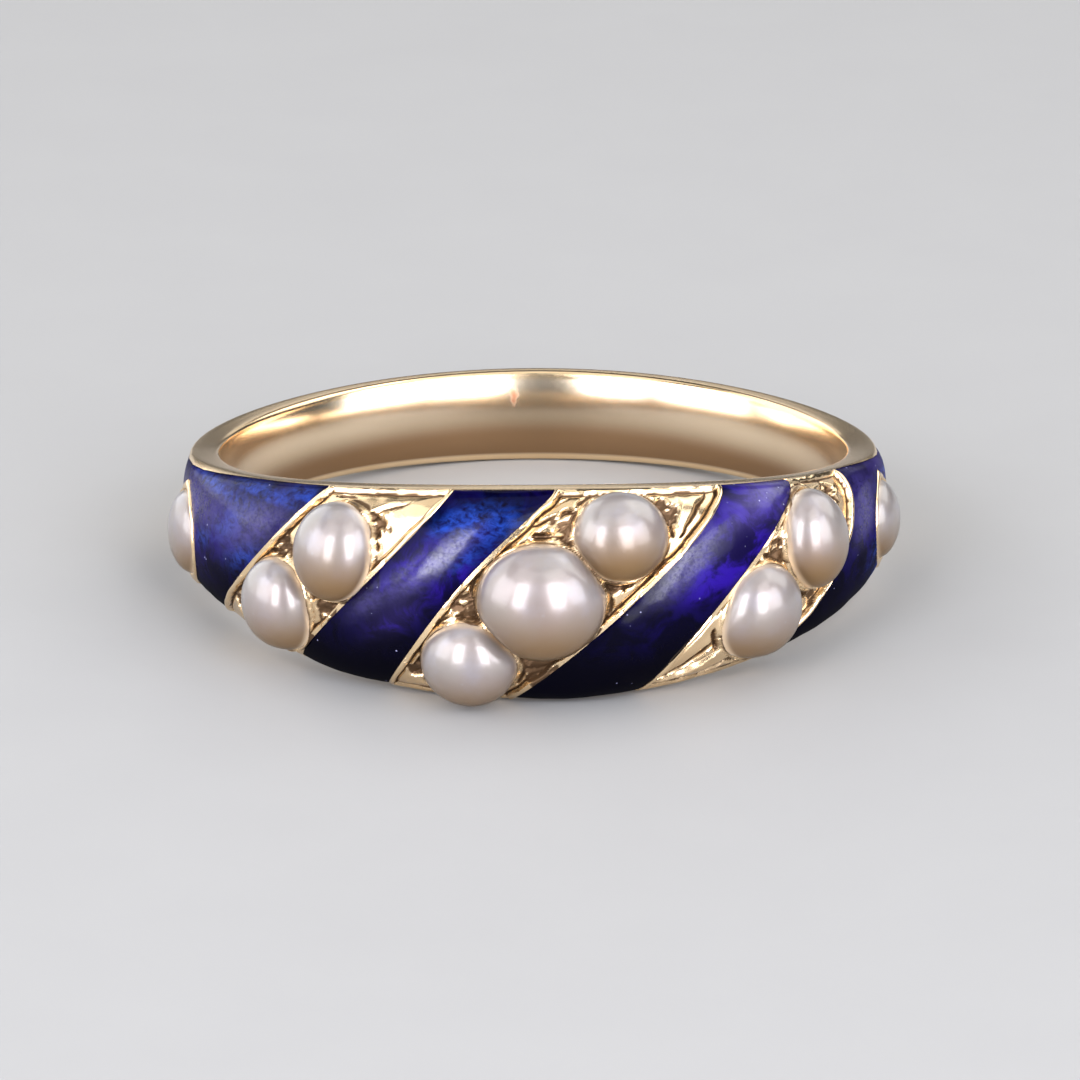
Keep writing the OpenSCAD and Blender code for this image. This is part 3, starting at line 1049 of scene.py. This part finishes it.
# %% [markdown]
# The band is one closed grid: columns go round the ring, and each column runs once round the
# section, over the domed outside, across the upper flat edge, down the finger hole and back
# across the lower edge. First the outside, where pockets are sunk and fields are carved.

# %% Columns of the outside
OUTER_R = 10.4
POCKET_ROOM = 0.04
RIM_STEP = 1.2


def outside_columns(kind, left, right, count, segment):
    """Outside points of a segment's columns, with angles, depths and dirt.

    The middle rows reach as far as pockets do, and five more at each end go on over
    the flat edge's rim.
    """
    if kind == "pocket":
        f = np.linspace(0, 1, count)[:, None]
        inset = (1 - 2 * f) * math.degrees(POCKET_ROOM / OUTER_R)
    else:
        f = eased(count, 0.35 if kind == "field" else 0.0)[:, None]
        inset = 0 * f
    end = pocket_end(left, right, f)
    lift = np.linspace(0, 1, 5)[None, :]
    q_rim = (end + RIM_STEP) + (90 - RIM_STEP - end) * lift
    q = np.concatenate([-q_rim[:, ::-1], end * ROWS[None, :], q_rim], 1)
    a = across(left, right, f, rise_of(q)) + inset
    points = skin(a, q)
    middle = slice(5, 5 + len(ROWS))
    depth, dirt = np.zeros(q.shape), np.zeros(q.shape)
    if kind == "pocket":
        depth[:, middle] = POCKET_DEPTH
    elif kind == "field":
        depth[:, middle], dirt[:, middle] = carve(points[:, middle], segment)
    return points - outward(a, q) * depth[..., None], f, inset, depth, dirt


print("shank columns", outside_columns(*SEGMENTS[7], segment=7)[0].shape)

# %% [markdown]
# Each column then goes over the rounded upper edge, down the hole and over the lower edge.
# Marks are stored for the whole section: dirt outside, darker gold in the locket's recess,
# wear on the carved ground, and painted shade in the lower part of the hole.

# %% Columns round the section
def edge_columns(side, a_rim):
    """Points over one edge: two on the flat, then a quarter circle down into the hole."""
    soft, hole = grown(EDGE_ROUND, a_rim), BORE_R + grown(HOLE_FLARE, a_rim)
    h = half_w(a_rim)
    bend = np.radians(np.linspace(0, 90, 6))[None, :]
    flat = np.array([0.35, 0.7])[None, :]
    r_flat = (BORE_R + rim_t(a_rim)) * (1 - flat) + (hole + soft) * flat
    r = np.concatenate([r_flat, hole + soft - soft * np.sin(bend)], 1)
    z = side * np.concatenate([h + 0 * r_flat, h - soft + soft * np.cos(bend)], 1)
    edge = polar(r, a_rim + 0 * r, z)
    return edge if side > 0 else edge[:, ::-1]


def section(outside, hole):
    """A mark's values once round the section, with nothing on the two edges."""
    edge = np.zeros((len(outside), 8))
    return np.concatenate([outside, edge, hole, edge], 1)


def band_columns(kind, left, right, count, segment):
    """Points and marks of one segment's columns, each once round the section."""
    outside, f, inset, depth, dirt = outside_columns(kind, left, right, count, segment)
    a_top, a_low = across(left, right, f, 1.0) + inset, across(left, right, f, -1.0) + inset
    w = np.linspace(1, -1, 28)[None, 1:-1]
    s = w * (1 - grown(EDGE_ROUND, a_top) / half_w(a_top))
    a_hole = across(left, right, f, s) + inset
    z = s * half_w(a_hole)
    window = window_distance(BORE_R * np.sin(np.radians(a_hole)), z)
    sunk = smooth((-0.05 - window) / LOCKET_SLOPE) * (from_front(a_hole) < 60)
    r = BORE_R + grown(HOLE_FLARE, a_hole) * np.abs(w) ** 2.5 + LOCKET_DEPTH * sunk
    hole = polar(r, a_hole, z)
    worn = 0.30 * smooth((depth - 0.01) / 0.10) * (kind == "field")
    # Painted shade: the gold darkens towards the lower edge of the hole.
    painted_hole_shade = smooth((0.35 - w - 0.12 * np.cos(np.radians(3 * a_hole))) / 0.9)
    marks = {
        "recess": section(dirt, 0.6 * sunk),
        "inside": section(0 * dirt, np.ones(a_hole.shape)),
        "wear_and_shade": section(worn, painted_hole_shade),
    }
    return np.concatenate([outside, edge_columns(1, a_top), hole, edge_columns(-1, a_low)], 1), marks


parts = [band_columns(*entry, segment=k) for k, entry in enumerate(SEGMENTS)]
band_points = np.concatenate([p for p, _ in parts])
band_marks = {key: np.concatenate([m[key] for _, m in parts]) for key in parts[0][1]}
make_piece(
    "gold_band", band_points, ring_faces(*band_points.shape[:2]), OLD_GOLD,
    replaces=["band"], crease=30, marks=band_marks,
)

# %% [markdown]
# Each stripe of enamel has its own clouds, streaks and reflections, and the gloss spots also
# paint a sheen into its colour. Noise alone would put them anywhere, so soft spots say where each
# mark is strong, and the finish breaks them up.

# %% Spots in the enamel
# Each: share across the stripe, height, size across, size upwards, strength
SPOTS = {
    "enamel_left_panel": {
        "azure": [
            (0.52, 1.62, 0.22, 0.14, 1), (0.79, 2, 0.18, 0.14, 1), (0.98, 2.27, 0.1, 0.14, 0.9),
            (0.77, 0.98, 0.07, 0.45, 1), (0.94, 0.29, 0.07, 0.4, 0.7), (0.66, 0.2, 0.05, 0.3, 0.6),
        ],
        "violet": [(0.6, 0.6, 0.4, 0.9, 0.35)],
        "froth": [(0.5, -0.6, 0.3, 0.8, 0.6)],
        "gloss": [
            (0.62, 1.1, 0.2, 0.7, 0.55), (0.88, 1.1, 0.14, 0.8, 0.95), (0.35, 0.9, 0.22, 0.6, 0.8),
        ],
    },
    "enamel_left_stripe": {
        "azure": [
            (0.4, 2.3, 0.24, 0.3, 0.9), (0.72, 2.1, 0.24, 0.35, 0.9), (0.24, 2, 0.1, 0.25, 0.5),
            (0.8, 1.4, 0.14, 0.4, 0.6),
        ],
        "violet": [
            (0.62, -0.5, 0.16, 0.4, 1), (0.36, 0.5, 0.22, 0.5, 0.8), (0.3, 1.3, 0.2, 0.5, 0.8),
            (0.85, 0.7, 0.14, 0.5, 1),
        ],
        "froth": [(0.6, -0.4, 0.3, 0.9, 0.5)],
        "gloss": [
            (0.62, 1.7, 0.15, 0.5, 0.65), (0.5, 1.1, 0.2, 0.55, 0.85), (0.42, 0.5, 0.18, 0.5, 0.6),
            (0.22, -0.1, 0.16, 0.5, 0.6),
        ],
    },
    "enamel_right_stripe": {
        "azure": [(0.15, 2.7, 0.1, 0.2, 0.3)],
        "violet": [
            (0.42, 2.1, 0.5, 0.7, 1), (0.6, 1, 0.35, 0.6, 1), (0.5, 0.6, 0.2, 0.4, 0.6),
            (0.88, 0.6, 0.16, 0.5, 1), (0.66, 0.1, 0.2, 0.3, 0.7), (0.7, -1, 0.3, 0.5, 0.2),
        ],
        "froth": [(0.5, 2.1, 0.5, 0.7, 1), (0.4, 0.6, 0.5, 1, 0.3)],
        "gloss": [
            (0.1, 1.4, 0.16, 0.5, 0.7), (0.2, 0.8, 0.17, 0.5, 0.7), (0.28, 0.3, 0.16, 0.4, 0.4),
            (0.72, 2.3, 0.35, 0.5, 1),
        ],
    },
    "enamel_right_panel": {
        "azure": [
            (0.44, -0.26, 0.1, 0.5, 0.6), (0.67, -1.2, 0.12, 0.3, 0.7), (0.6, 1.1, 0.2, 0.2, 0.8),
        ],
        "violet": [(0.3, 0.4, 0.3, 0.8, 0.3)],
        "froth": [(0.5, 1.6, 0.4, 0.5, 0.8)],
        "gloss": [(0.08, 1.2, 0.12, 0.6, 0.9), (0.14, 0.5, 0.1, 0.5, 0.7), (0.6, 0.9, 0.3, 0.5, 0.35)],
    },
}


def spots_at(entries, f, z):
    """Sum of soft spots: strength times exp of less the squared distances over the sizes."""
    total = sum(
        k * np.exp(-((f - f0) / wide) ** 2 - ((z - z0) / tall) ** 2) for f0, z0, wide, tall, k in entries
    )
    return np.clip(total, 0, 1)


print("spots", sum(len(entries) for marks in SPOTS.values() for entries in marks.values()))

# %% [markdown]
# The two outermost pearls sit in cells of their own within the enamel: a low gold wall that
# follows the pearl and comes to a small point above and below it. The enamel is sunk there,
# so the outline of a cell comes before the stripes.

# %% Outline of a far pearl's cell
def cell_outline(name, theta):
    """Outline of the gold cell round a far pearl: the pearl's, with a point above and below."""
    points = sum(np.exp(-np.abs((theta - tip + 180) % 360 - 180) / 15) for tip in (90, 270))
    return outline(name, theta) + 0.05 + 0.20 * points


def far_place(name, x, y):
    """Point and normal of the outside x mm round and y mm up from a far pearl."""
    a0, z0 = PEARLS[name][:2]
    a = a0 + np.degrees(x / np.linalg.norm(skin(a0, 0.0)[:2]))
    z = np.clip(z0 + y, -0.985 * half_w(a), 0.985 * half_w(a))
    q = section_angle(a, z)
    return skin(a, q), outward(a, q)


print("cell from the middle to its point", cell_outline("pearl_far_left", 90.0).round(2), "mm")

# %% [markdown]
# Enamel is put in as powder, melts, and is ground to a smooth cushion that fills its pocket
# to the gold lines. Each stripe is a slab: the upper sheet is the outside of the band raised
# by a low arch across the stripe, the lower one lies just under the pocket's floor.

# %% The enamel stripes
# Each: left line, right line, columns, arch
STRIPES = {
    "enamel_left_panel": (0, 1, 90, 0.10),
    "enamel_left_stripe": (2, 3, 44, 0.13),
    "enamel_right_stripe": (4, 5, 44, 0.13),
    "enamel_right_panel": (6, 7, 80, 0.14),
}
STRIPE_ROWS = 120
# Degrees past the pocket's end, and mm that the glass lies under the gold at its edges
PAST_POCKET = 0.9
EDGE_SINK = 0.016
# Radius of the band at the far pearls, and how far the glass is sunk inside their cells
FAR_REACH = 9.9
CELL_SINK = 0.28


def stripe_points(left, right, count, arch, seed):
    """Upper and lower sheet of a slab, and where its points are round and up the ring.

    The arch is a power of a parabola across the stripe and level almost to its ends.
    """
    f = eased(count, 0.4)[:, None]
    end = pocket_end(left, right, f) + PAST_POCKET
    t = even_rows(STRIPE_ROWS)[0][None, :]
    q = end * t
    a = across(left, right, f, rise_of(q))
    base, out = skin(a, q), outward(a, q)
    high = arch * (1 - (2 * f - 1) ** 2) ** 0.85 * (1 - np.abs(t) ** 5) - EDGE_SINK
    high = high + 0.0035 * waves(base, 1.3, seed) + 0.0015 * waves(base, 0.5, seed + 1)
    for name in ("pearl_far_left", "pearl_far_right"):
        a0, z0 = PEARLS[name][:2]
        x, y = np.radians(a - a0) * FAR_REACH, base[..., 2] - z0
        beyond = np.hypot(x, y) - cell_outline(name, np.degrees(np.arctan2(y, x)))
        high = high - CELL_SINK * smooth((-0.02 - beyond) / 0.06) * (np.abs(a - a0) < 30)
    return base + out * high[..., None], base - out * (POCKET_DEPTH - 0.01), f + 0 * a, base[..., 2]


for k, (name, (left, right, count, arch)) in enumerate(STRIPES.items()):
    top, low, f, z = stripe_points(left, right, count, arch, 300 + 10 * k)
    marks = {key: np.tile(spots_at(spots, f, z).ravel(), 2) for key, spots in SPOTS[name].items()}
    # Painted shade: this mark grows towards the bottom of each stripe.
    marks["deep"] = np.tile(smooth((0.2 - z) / 2.2).ravel(), 2)
    make_piece(
        name + "_glaze", np.concatenate([top.reshape(-1, 3), low.reshape(-1, 3)]),
        slab_faces(*top.shape[:2]), BLUE_ENAMEL, replaces=[name], crease=50, marks=marks,
    )

# %% [markdown]
# The cells' gold walls are a small section of eight points, from the pearl's side over the
# rounded top to the outer foot, carried round the outline.

# %% Cells of the outermost pearls
def cell_points(name):
    """A loop of wall sections: inner foot, rounded top and outer foot, carried round theta."""
    theta = np.linspace(0, 360, 180, endpoint=False)[:, None]
    share = np.array([0.00, 0.01, 0.03, 0.06, 0.10, 0.12, 0.12, 0.06])[None, :] / 0.12
    rise = np.array([-0.25, 0.09, 0.13, 0.145, 0.13, 0.09, -0.25, -0.28])[None, :]
    outer = cell_outline(name, theta)
    inner = outline(name, theta) - 0.02
    r = inner * (1 - share) + (outer + 0.04) * share
    t = np.radians(theta)
    base, out = far_place(name, r * np.cos(t), r * np.sin(t))
    rise = rise + 0.010 * waves(base, 0.5, 7)
    return base + out * rise[..., None]


for side in ("left", "right"):
    points = cell_points("pearl_far_" + side)
    make_piece("cell_" + side, points, ring_faces(*points.shape[:2]), OLD_GOLD, crease=50)

# %% [markdown]
# A half pearl is domed above its widest line and draws in below it to a flat sawn foot in
# the gold. A scaled sphere would show its poles and perfect circles. Here the dome is a
# quarter ellipse turned round the pearl's own outline, and slow waves unsettle it.

# %% The half pearls
PEARL_FOOT = 0.33


def pearl_points(name, seed):
    """Loops from the top of the dome to the edge of the foot, with the two end points.

    Over the widest line the radius goes with sin and the height with cos of the same
    angle, and under it the height goes on with sin while the radius draws in by 22 %.
    """
    dome = PEARLS[name][5]
    theta = np.arange(0, 360, 3.0)[None, :]
    t = np.radians(np.concatenate([np.linspace(2.5, 90, 34), np.linspace(97, 180, 10)]))[:, None]
    under = np.clip(t - math.pi / 2, 0, None)
    share = np.where(under > 0, 0.78 + 0.22 * np.cos(under), np.sin(t))
    height = np.where(under > 0, -PEARL_FOOT * np.sin(under), dome * np.cos(t))
    centre, right, up, out = seat_of(name)
    low = np.where(under > 0, 1.0, np.sin(t) ** 10)
    r = (ellipse(name, theta) * (1 - low) + outline(name, theta) * low) * share
    along = r * np.cos(np.radians(theta)), r * np.sin(np.radians(theta))
    points = centre + along[0][..., None] * right + along[1][..., None] * up
    points = points + (height + 0 * r)[..., None] * out
    points = points + (0.010 * waves(points, 2.2, seed) * np.sin(t))[..., None] * out
    ends = np.stack([centre + dome * out, centre - PEARL_FOOT * out])
    # Painted light marks: warm shade and gold reflection on the lower side, and the gold's glow at the foot.
    lower = smooth((0.42 - np.sin(np.radians(theta)) * np.sin(t)) / 1.30)
    foot = smooth((0.26 - height) / 0.26) * (0.45 + 0.55 * lower)
    return points, ends, lower, foot


for k, name in enumerate(PEARLS):
    loops, ends, lower, foot = pearl_points(name, 500 + k)
    marks = {"lower": np.concatenate([lower.ravel(), [0, 1]]), "foot": np.concatenate([foot.ravel(), [0, 1]])}
    make_piece(
        name + "_dome", np.concatenate([loops.reshape(-1, 3), ends]), stack_faces(*loops.shape[:2]),
        HALF_PEARL, replaces=[name], marks=marks,
    )

# %% [markdown]
# The locket is a shallow space behind the front of the band, closed with a thin slip of glass
# that lies in the finger hole. Its outline has two straight sides and two round ends, and
# equal steps along it keep the pieces that follow it even.

# %% Outline of the locket's window
def window_outline(count):
    """Points of the round-ended window by equal steps, and their outward directions."""
    straight, bow = WINDOW_L - WINDOW_W, math.pi * WINDOW_W / 2
    run = (np.arange(count) + 0.5) / count * 2 * (straight + bow)
    half = straight + bow
    side = np.where(run < half, 1.0, -1.0)
    run = np.where(run < half, run, run - half)
    turn = np.clip((run - straight) / (WINDOW_W / 2), 0, math.pi)
    x = np.minimum(run, straight) - straight / 2
    centre_x = np.where(run < straight, x, straight / 2)
    way = np.stack([np.sin(turn), np.cos(turn)], -1)
    spot = np.stack([centre_x, 0 * x], -1) + WINDOW_W / 2 * way
    return side[:, None] * spot, side[:, None] * way


def on_hole(x, z, r):
    """Point at width x and height z on a cylinder of radius r about the bore, at the front."""
    return np.stack([x + 0 * r, -np.sqrt(r * r - x * x), z + 0 * r], -1)


spot, way = window_outline(220)
print("window", np.ptp(spot, axis=0).round(2), "mm wide and high")

# %% [markdown]
# A bead of gold is rubbed over the edge of the glass to hold it. It is a small oval carried
# round the outline, a hair proud of the hole so that it can be seen but not felt.

# %% The bead round the glass
BEAD = 0.17
BEAD_RISE = 0.12

turn = np.radians(np.arange(0, 360, 30.0))[None, :]
x = spot[:, :1] + way[:, :1] * BEAD * np.cos(turn)
z = spot[:, 1:] + way[:, 1:] * BEAD * np.cos(turn)
bead = on_hole(x, z, BORE_R + 0.06 - BEAD_RISE * np.sin(turn))
make_piece("locket_bead", bead, ring_faces(*bead.shape[:2]), OLD_GOLD)

# %% [markdown]
# The glass fills the window under the bead. It is a stack of outlines that shrink to a point
# on both faces, and the face towards the finger is a little domed.

# %% The glass
# Mm that its edge lies behind the hole, mm that its middle swells, and its share of the window
GLASS_EDGE = 0.03
GLASS_DOME = 0.06
GLASS_FIT = 0.985

share = np.concatenate([np.linspace(0.08, 0.99, 14), np.linspace(0.99, 0.08, 14)])[:, None]
domed = BORE_R + GLASS_EDGE - GLASS_DOME * (1 - share[:14] ** 2)
face = np.concatenate([domed, BORE_R + GLASS_T + 0 * share[14:]])
x, z = (share * spot[None, :, k] * GLASS_FIT for k in (0, 1))
glass = on_hole(x, z, face)
ends = np.array([BORE_R + GLASS_EDGE - GLASS_DOME, BORE_R + GLASS_T])
centre = on_hole(np.zeros(2), np.zeros(2), ends)
make_piece(
    "locket_window", np.concatenate([glass.reshape(-1, 3), centre]), stack_faces(*glass.shape[:2]),
    CLEAR_GLASS, replaces=["locket_glass"], crease=50,
)

# %% [markdown]
# The floor is one pale plain sheet, grey enough that the pearls stay the brightest things.
# Gold and enamel mirror it, so a darker or a coloured floor would change them too.

# %% Floor
def floor_finish():
    """A pale sheet with a trace of fibre."""
    f = Finish("pale_paper")
    fibre = f.noise(4.0, detail=4, seed=2.0)
    return f.surface({
        "Base Color": f.mix(fibre, (0.300, 0.297, 0.291), (0.315, 0.312, 0.305)),
        "Roughness": 0.6,
        "Normal": f.bump(fibre, 0.02, 0.1),
    })


FLOOR = 0.6
corners = [(x * FLOOR, y * FLOOR, 0) for x, y in ((-1, -1), (1, -1), (1, 1), (-1, 1))]
floor_mesh = bpy.data.meshes.new("floor")
floor_mesh.from_pydata(corners, [], [(0, 1, 2, 3)])
floor_mesh.materials.append(floor_finish())
floor = add_object("floor", floor_mesh)
print("floor", 2 * FLOOR, "m square")

# %% [markdown]
# The camera looks down on the ring from a little above, through a long lens from a quarter
# of a metre away. A near camera with a short lens would swell the front. Its rise, distance
# and scale fit the ellipses of the ring's two rims.

# %% Camera
VIEW_RISE = math.radians(16.268)
VIEW_ROLL = math.radians(0.274)
VIEW_DISTANCE = 238.242
PX_PER_MM = 35.818
IMAGE_PX = 1080
# Mm to the right of the ring's centre and up, where the camera looks
AIM = (0.177, -1.117)


def stand(thing, right, up, back, place):
    """Places a camera or a lamp, which look away from their third axis, at a point in metres."""
    axes = np.stack([right, up, back, place], 1)
    thing.matrix_world = Matrix([*axes.tolist(), [0, 0, 0, 1]])


def set_camera():
    """The photograph's view: a long lens that looks down on the ring's mid-plane."""
    c, s = math.cos(VIEW_RISE), math.sin(VIEW_RISE)
    right, up, ahead = np.array([1.0, 0, 0]), np.array([0, s, c]), np.array([0, c, -s])
    place = AIM[0] * right + AIM[1] * up - VIEW_DISTANCE * ahead
    roll_right = math.cos(VIEW_ROLL) * right - math.sin(VIEW_ROLL) * up
    roll_up = math.sin(VIEW_ROLL) * right + math.cos(VIEW_ROLL) * up
    data = bpy.data.cameras.new("view")
    data.sensor_width = 36.0
    data.lens = PX_PER_MM * VIEW_DISTANCE / IMAGE_PX * data.sensor_width
    data.clip_start = 0.01
    camera = add_object("view", data)
    stand(camera, turned(roll_right), turned(roll_up), -turned(ahead), laid_down(place))
    bpy.context.scene.camera = camera
    print("lens", round(data.lens, 1), "mm, height of the camera", round(laid_down(place)[2], 4), "m")


set_camera()

# %% [markdown]
# Gold shows only what it mirrors, and a pearl shows its lights as bright marks, so the lamps
# are soft panels of a chosen size and place. Two tall strips beside the camera give each
# pearl its pair of highlights, and wings beside them a wider glow. The sides light the faces
# of the enamel, the high ones the upper facets, and those behind and overhead the rims.

# %% Lights
def soft_panel(name, azimuth, rise, distance, size, strength, colour=(1, 1, 1)):
    """A rectangular light that faces the ring; azimuth 0 is the camera's side, positive to the right."""
    a, e = math.radians(azimuth), math.radians(rise)
    way = np.array([math.sin(a) * math.cos(e), -math.cos(a) * math.cos(e), math.sin(e)])
    data = bpy.data.lights.new(name, "AREA")
    data.shape = "RECTANGLE"
    data.size, data.size_y = size
    data.energy = strength * math.pi * size[0] * size[1]
    data.color = colour
    level = unit(np.cross([0, 0, 1.0], way))
    stand(add_object(name, data), level, np.cross(way, level), way, way * distance)


COOL, WHITE = (0.91, 0.92, 1.0), (1.0, 1.0, 1.0)
# Each: degrees round, degrees up, metres away, width and height, strength, colour
LIGHTS = {
    "strip_left": (-31, 21, 0.35, (0.120, 0.30), 11.4, COOL),
    "strip_right": (25, 21, 0.35, (0.145, 0.30), 11.4, COOL),
    "wing_left": (-68, 22, 0.35, (0.24, 0.26), 5.0, COOL),
    "wing_right": (58, 22, 0.35, (0.20, 0.26), 5.4, COOL),
    "side_left": (-122, 24, 0.35, (0.42, 0.34), 2.1, WHITE),
    "side_right": (121, 44, 0.35, (0.30, 0.28), 2.4, WHITE),
    "high_left": (-42, 58, 0.35, (0.20, 0.14), 1.8, WHITE),
    "high_right": (40, 58, 0.35, (0.20, 0.14), 2.6, WHITE),
    "behind": (180, 17, 0.50, (0.60, 0.12), 0.9, WHITE),
    "overhead": (180, 82, 0.35, (0.38, 0.26), 1.15, WHITE),
}
for name, entry in LIGHTS.items():
    soft_panel(name, *entry)
print("lights", len(bpy.data.lights))

# %% [markdown]
# A dim grey world fills the shadows, and the plain view transform keeps colours as they are.

# %% Surroundings and finish
world = bpy.data.worlds.new("studio")
world.use_nodes = True
world.node_tree.nodes["Background"].inputs[0].default_value = (0.035, 0.037, 0.042, 1)
bpy.context.scene.world = world
bpy.context.scene.view_settings.view_transform = "Standard"
